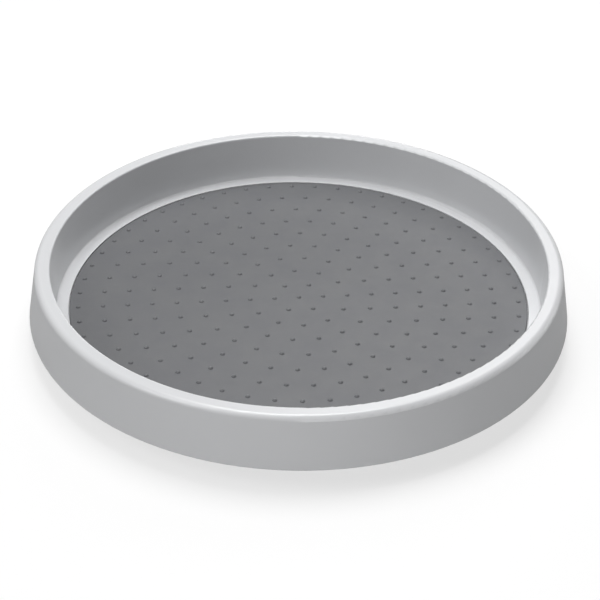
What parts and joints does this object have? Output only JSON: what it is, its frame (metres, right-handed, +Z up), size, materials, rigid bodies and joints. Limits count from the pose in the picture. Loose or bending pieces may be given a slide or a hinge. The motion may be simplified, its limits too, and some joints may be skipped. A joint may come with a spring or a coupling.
{
  "type": "lazy susan turntable",
  "caption": "Round turntable: a shallow tray with a raised rim and an inset studded grip mat spins on a ring of caged steel balls over a flat round base with soft feet.",
  "frame": {"origin": "centre of the underside, on the surface that the feet stand on", "axes": "+Z up along the pivot's axis; +X to the right and +Y away from someone who looks from the front"},
  "size_m": [0.2498, 0.2498, 0.036],
  "materials": {
    "tray_plastic": "glossy",
    "mat_rubber": "soft satin, finely grained",
    "base_plastic": "fine moulded grain",
    "bush_plastic": "satin",
    "cage_plastic": "satin",
    "ball_steel": "polished",
    "washer_steel": "zinc plated",
    "screw_steel": "zinc plated",
    "foot_rubber": "matte"
  },
  "bodies": {
    "base": {"base_plate": "base_plastic", "pivot_bush": "bush_plastic", "foot_1": "foot_rubber", "foot_2": "foot_rubber", "foot_3": "foot_rubber", "foot_4": "foot_rubber", "foot_5": "foot_rubber", "foot_6": "foot_rubber"},
    "tray": {"tray": "tray_plastic", "grip_mat": "mat_rubber", "pivot_screw": "screw_steel", "retaining_washer": "washer_steel"},
    "cage": {"ball_cage": "cage_plastic"},
    "ball_01": {"ball_01": "ball_steel"},
    "ball_02": {"ball_02": "ball_steel"},
    "ball_03": {"ball_03": "ball_steel"},
    "ball_04": {"ball_04": "ball_steel"},
    "ball_05": {"ball_05": "ball_steel"},
    "ball_06": {"ball_06": "ball_steel"},
    "ball_07": {"ball_07": "ball_steel"},
    "ball_08": {"ball_08": "ball_steel"},
    "ball_09": {"ball_09": "ball_steel"},
    "ball_10": {"ball_10": "ball_steel"},
    "ball_11": {"ball_11": "ball_steel"},
    "ball_12": {"ball_12": "ball_steel"}
  },
  "joints": [
    {"name": "tray_spin", "type": "hinge", "parent": "base", "child": "tray", "pos_m": [0, 0, 0.006], "axis": [0, 0, 1], "continuous": true},
    {"name": "cage_spin", "type": "hinge", "parent": "base", "child": "cage", "pos_m": [0, 0, 0.00565], "axis": [0, 0, 1], "continuous": true},
    {"name": "ball_01_roll", "type": "hinge", "parent": "cage", "child": "ball_01", "pos_m": [0.07, 0, 0.00565], "axis": [1, 0, 0], "continuous": true},
    {"name": "ball_02_roll", "type": "hinge", "parent": "cage", "child": "ball_02", "pos_m": [0.06062, 0.035, 0.00565], "axis": [0.866, 0.5, 0], "continuous": true},
    {"name": "ball_03_roll", "type": "hinge", "parent": "cage", "child": "ball_03", "pos_m": [0.035, 0.06062, 0.00565], "axis": [0.5, 0.866, 0], "continuous": true},
    {"name": "ball_04_roll", "type": "hinge", "parent": "cage", "child": "ball_04", "pos_m": [0, 0.07, 0.00565], "axis": [0, 1, 0], "continuous": true},
    {"name": "ball_05_roll", "type": "hinge", "parent": "cage", "child": "ball_05", "pos_m": [-0.035, 0.06062, 0.00565], "axis": [-0.5, 0.866, 0], "continuous": true},
    {"name": "ball_06_roll", "type": "hinge", "parent": "cage", "child": "ball_06", "pos_m": [-0.06062, 0.035, 0.00565], "axis": [-0.866, 0.5, 0], "continuous": true},
    {"name": "ball_07_roll", "type": "hinge", "parent": "cage", "child": "ball_07", "pos_m": [-0.07, 0, 0.00565], "axis": [-1, 0, 0], "continuous": true},
    {"name": "ball_08_roll", "type": "hinge", "parent": "cage", "child": "ball_08", "pos_m": [-0.06062, -0.035, 0.00565], "axis": [-0.866, -0.5, 0], "continuous": true},
    {"name": "ball_09_roll", "type": "hinge", "parent": "cage", "child": "ball_09", "pos_m": [-0.035, -0.06062, 0.00565], "axis": [-0.5, -0.866, 0], "continuous": true},
    {"name": "ball_10_roll", "type": "hinge", "parent": "cage", "child": "ball_10", "pos_m": [0, -0.07, 0.00565], "axis": [0, -1, 0], "continuous": true},
    {"name": "ball_11_roll", "type": "hinge", "parent": "cage", "child": "ball_11", "pos_m": [0.035, -0.06062, 0.00565], "axis": [0.5, -0.866, 0], "continuous": true},
    {"name": "ball_12_roll", "type": "hinge", "parent": "cage", "child": "ball_12", "pos_m": [0.06062, -0.035, 0.00565], "axis": [0.866, -0.5, 0], "continuous": true}
  ],
  "couplings": [
    {"joint": "cage_spin", "follows": "tray_spin", "ratio": 0.5},
    {"joint": "ball_01_roll", "follows": "tray_spin", "ratio": -11.667},
    {"joint": "ball_02_roll", "follows": "tray_spin", "ratio": -11.667},
    {"joint": "ball_03_roll", "follows": "tray_spin", "ratio": -11.667},
    {"joint": "ball_04_roll", "follows": "tray_spin", "ratio": -11.667},
    {"joint": "ball_05_roll", "follows": "tray_spin", "ratio": -11.667},
    {"joint": "ball_06_roll", "follows": "tray_spin", "ratio": -11.667},
    {"joint": "ball_07_roll", "follows": "tray_spin", "ratio": -11.667},
    {"joint": "ball_08_roll", "follows": "tray_spin", "ratio": -11.667},
    {"joint": "ball_09_roll", "follows": "tray_spin", "ratio": -11.667},
    {"joint": "ball_10_roll", "follows": "tray_spin", "ratio": -11.667},
    {"joint": "ball_11_roll", "follows": "tray_spin", "ratio": -11.667},
    {"joint": "ball_12_roll", "follows": "tray_spin", "ratio": -11.667}
  ]
}
